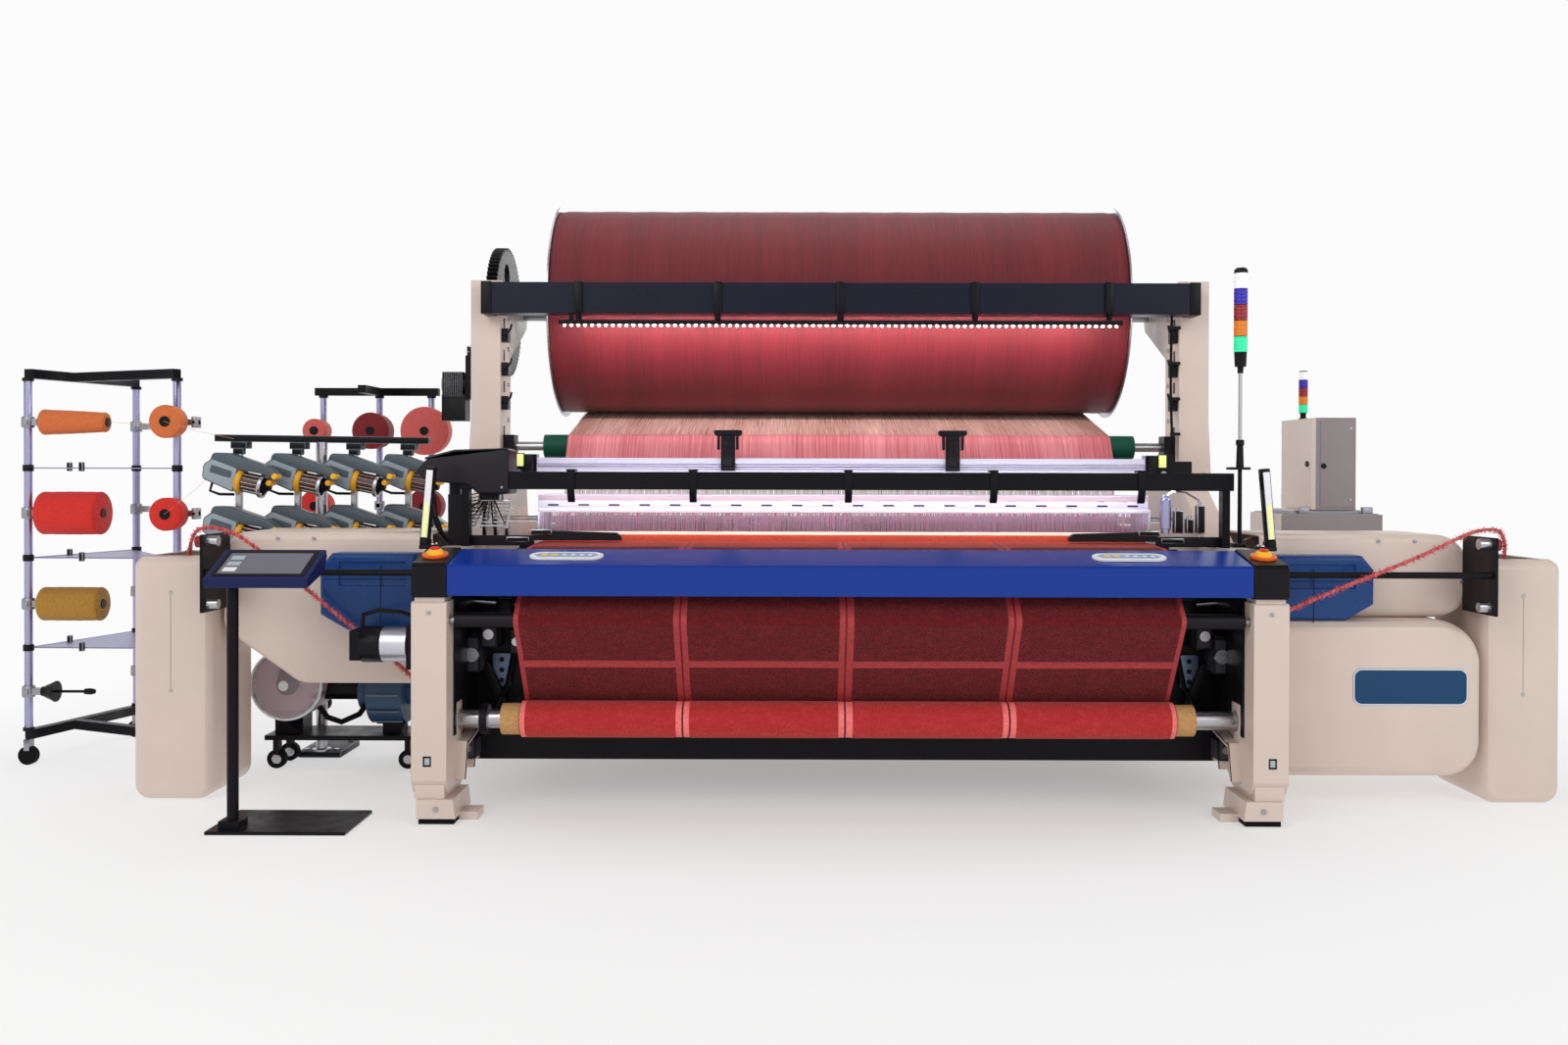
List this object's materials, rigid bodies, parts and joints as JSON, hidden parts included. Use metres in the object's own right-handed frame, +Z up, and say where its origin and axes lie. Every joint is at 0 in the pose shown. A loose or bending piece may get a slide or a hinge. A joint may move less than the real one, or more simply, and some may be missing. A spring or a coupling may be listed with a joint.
{
  "type": "power loom",
  "caption": "Wide terry weaving machine with two warp beams, heald frames, swinging reed, rapiers, cloth take-up, weft feeders, yarn creels, waste bins and control cabinet.",
  "frame": {"origin": "on the floor, at the middle of the rectangle of four anchor holes in the machine's feet", "axes": "+X right along the reed, +Y from the weaver's side to the warp beams, +Z up"},
  "size_m": [6.2649, 2.52, 2.53],
  "materials": {
    "cast_paint": "smooth beige enamel",
    "black_paint": "satin black powder coat",
    "blue_paint": "satin blue enamel",
    "navy_paint": "satin dark navy enamel",
    "bright_aluminium": "brushed",
    "bright_steel": "ground",
    "key_plastic": "moulded",
    "stop_plastic": "moulded red",
    "lamp_plastic": "moulded lens",
    "warp_yarn": "wound and stretched cotton yarn",
    "towel": "terry cloth",
    "board": "spiral wound cardboard",
    "green_rubber": "smooth green rubber",
    "grey_plastic": "moulded grey plastic",
    "dark_plastic": "moulded dark plastic",
    "cabinet_paint": "textured grey enamel",
    "yarn": "wound yarn",
    "gear_steel": "blackened"
  },
  "bodies": {
    "root": {"side_frame_left": "cast_paint", "side_frame_right": "cast_paint", "front_leg_covers": "cast_paint", "machine_feet": "cast_paint", "cross_members": "black_paint", "breast_beam_cover": "blue_paint", "breast_beam_caps": "black_paint", "operator_panels": "key_plastic", "signal_lights": "lamp_plastic", "beam_columns": "cast_paint", "top_cross_beam": "navy_paint", "light_beam": "black_paint", "tension_beam": "bright_aluminium", "servo_motors": "black_paint", "warp_sheets": "warp_yarn", "terry_cloth": "towel", "temples": "black_paint", "selector_hood": "dark_plastic", "weft_selector": "dark_plastic", "rapier_housings": "cast_paint", "rapier_covers": "blue_paint", "drive_housing": "cast_paint", "waste_bins": "cast_paint", "waste_takeoffs": "black_paint", "waste_ropes": "towel", "control_cabinet": "cabinet_paint", "hmi_stand": "black_paint", "weft_feeders": "grey_plastic", "creel_stands": "black_paint", "yarn_packages": "yarn", "suction_unit": "black_paint", "cables": "black_paint"},
    "estop_button_left": {"estop_button_left": "stop_plastic"},
    "estop_button_right": {"estop_button_right": "stop_plastic"},
    "pile_beam": {"pile_beam": "bright_aluminium", "pile_warp_winding": "warp_yarn", "pile_beam_gear": "gear_steel"},
    "letoff_pinion": {"letoff_pinion": "gear_steel"},
    "ground_beam": {"ground_beam": "bright_aluminium", "ground_warp_winding": "warp_yarn"},
    "pile_backrest_roller": {"pile_backrest_roller": "green_rubber"},
    "ground_backrest_roller": {"ground_backrest_roller": "bright_steel"},
    "heald_frame_1": {"heald_frame_1": "bright_aluminium"},
    "heald_frame_2": {"heald_frame_2": "bright_aluminium"},
    "heald_frame_3": {"heald_frame_3": "bright_aluminium"},
    "heald_frame_4": {"heald_frame_4": "bright_aluminium"},
    "sley": {"sley": "bright_steel", "reed": "bright_steel"},
    "take_up_roller": {"take_up_roller": "bright_steel"},
    "cloth_guide_roller": {"cloth_guide_roller": "bright_steel"},
    "cloth_roll": {"cloth_roll": "towel", "cloth_roll_core": "board", "cloth_roll_shaft": "bright_steel"},
    "rapier_wheel_left": {"rapier_wheel_left": "bright_steel"},
    "rapier_wheel_right": {"rapier_wheel_right": "bright_steel"},
    "rapier_left": {"rapier_left": "bright_steel"},
    "rapier_right": {"rapier_right": "bright_steel"},
    "cabinet_door": {"cabinet_door": "cabinet_paint"},
    "hmi_panel": {"hmi_panel": "dark_plastic"},
    "suction_wiper": {"suction_wiper": "dark_plastic"}
  },
  "joints": [
    {"name": "estop_left_press", "type": "slide", "parent": "root", "child": "estop_button_left", "axis": [0, 0.1961, -0.9806], "range_m": [0, 0.005]},
    {"name": "estop_right_press", "type": "slide", "parent": "root", "child": "estop_button_right", "axis": [0, 0.1961, -0.9806], "range_m": [0, 0.005]},
    {"name": "pile_beam_spin", "type": "hinge", "parent": "root", "child": "pile_beam", "pos_m": [0, 0.88, 2.03], "axis": [1, 0, 0], "continuous": true},
    {"name": "letoff_pinion_spin", "type": "hinge", "parent": "root", "child": "letoff_pinion", "pos_m": [0, 0.7, 1.71823], "axis": [1, 0, 0], "continuous": true},
    {"name": "ground_beam_spin", "type": "hinge", "parent": "root", "child": "ground_beam", "pos_m": [0, 0.88, 0.5], "axis": [1, 0, 0], "continuous": true},
    {"name": "pile_backrest_roller_spin", "type": "hinge", "parent": "root", "child": "pile_backrest_roller", "pos_m": [0, 0.43, 1.379], "axis": [1, 0, 0], "continuous": true},
    {"name": "ground_backrest_roller_spin", "type": "hinge", "parent": "root", "child": "ground_backrest_roller", "pos_m": [0, 0.63, 1], "axis": [1, 0, 0], "continuous": true},
    {"name": "heald_frame_1_lift", "type": "slide", "parent": "root", "child": "heald_frame_1", "axis": [0, 0, 1], "range_m": [-0.045, 0.045]},
    {"name": "heald_frame_2_lift", "type": "slide", "parent": "root", "child": "heald_frame_2", "axis": [0, 0, 1], "range_m": [-0.045, 0.045]},
    {"name": "heald_frame_3_lift", "type": "slide", "parent": "root", "child": "heald_frame_3", "axis": [0, 0, 1], "range_m": [-0.045, 0.045]},
    {"name": "heald_frame_4_lift", "type": "slide", "parent": "root", "child": "heald_frame_4", "axis": [0, 0, 1], "range_m": [-0.045, 0.045]},
    {"name": "sley_spin", "type": "hinge", "parent": "root", "child": "sley", "pos_m": [0, -0.2, 0.64], "axis": [1, 0, 0], "range_deg": [0, 5]},
    {"name": "take_up_roller_spin", "type": "hinge", "parent": "root", "child": "take_up_roller", "pos_m": [0, -0.525, 0.912], "axis": [1, 0, 0], "continuous": true},
    {"name": "cloth_guide_roller_spin", "type": "hinge", "parent": "root", "child": "cloth_guide_roller", "pos_m": [0, -0.77, 0.73], "axis": [1, 0, 0], "continuous": true},
    {"name": "cloth_roll_spin", "type": "hinge", "parent": "root", "child": "cloth_roll", "pos_m": [0, -0.62, 0.345], "axis": [1, 0, 0], "continuous": true},
    {"name": "rapier_wheel_left_spin", "type": "hinge", "parent": "root", "child": "rapier_wheel_left", "pos_m": [-2.01, -0.283, 0.87], "axis": [0, 1, 0], "range_deg": [0, 690]},
    {"name": "rapier_wheel_right_spin", "type": "hinge", "parent": "root", "child": "rapier_wheel_right", "pos_m": [2.01, -0.283, 0.87], "axis": [0, -1, 0], "range_deg": [0, 690]},
    {"name": "rapier_left_drive", "type": "slide", "parent": "root", "child": "rapier_left", "axis": [1, 0, 0], "range_m": [0, 1.57]},
    {"name": "rapier_right_drive", "type": "slide", "parent": "root", "child": "rapier_right", "axis": [-1, 0, 0], "range_m": [0, 1.57]},
    {"name": "cabinet_door_hinge", "type": "hinge", "parent": "root", "child": "cabinet_door", "pos_m": [2.2695, 1.178, 1.31], "axis": [0, 0, -1], "range_deg": [0, 110]},
    {"name": "hmi_swivel", "type": "hinge", "parent": "root", "child": "hmi_panel", "pos_m": [-2.178, -0.9, 0.88], "axis": [0, 0, 1], "range_deg": [-60, 20]},
    {"name": "suction_wiper_spin", "type": "hinge", "parent": "root", "child": "suction_wiper", "pos_m": [-2.35, 0.072, 0.36], "axis": [0, 1, 0], "continuous": true}
  ],
  "couplings": [
    {"joint": "letoff_pinion_spin", "follows": "pile_beam_spin", "ratio": -5},
    {"joint": "pile_backrest_roller_spin", "follows": "pile_beam_spin", "ratio": -9.2308},
    {"joint": "ground_backrest_roller_spin", "follows": "ground_beam_spin", "ratio": 5.6667},
    {"joint": "cloth_guide_roller_spin", "follows": "take_up_roller_spin", "ratio": 2.3214},
    {"joint": "cloth_roll_spin", "follows": "take_up_roller_spin", "ratio": -0.9489},
    {"joint": "rapier_left_drive", "follows": "rapier_wheel_left_spin", "m_per_rad": 0.13},
    {"joint": "rapier_right_drive", "follows": "rapier_wheel_right_spin", "m_per_rad": 0.13}
  ]
}
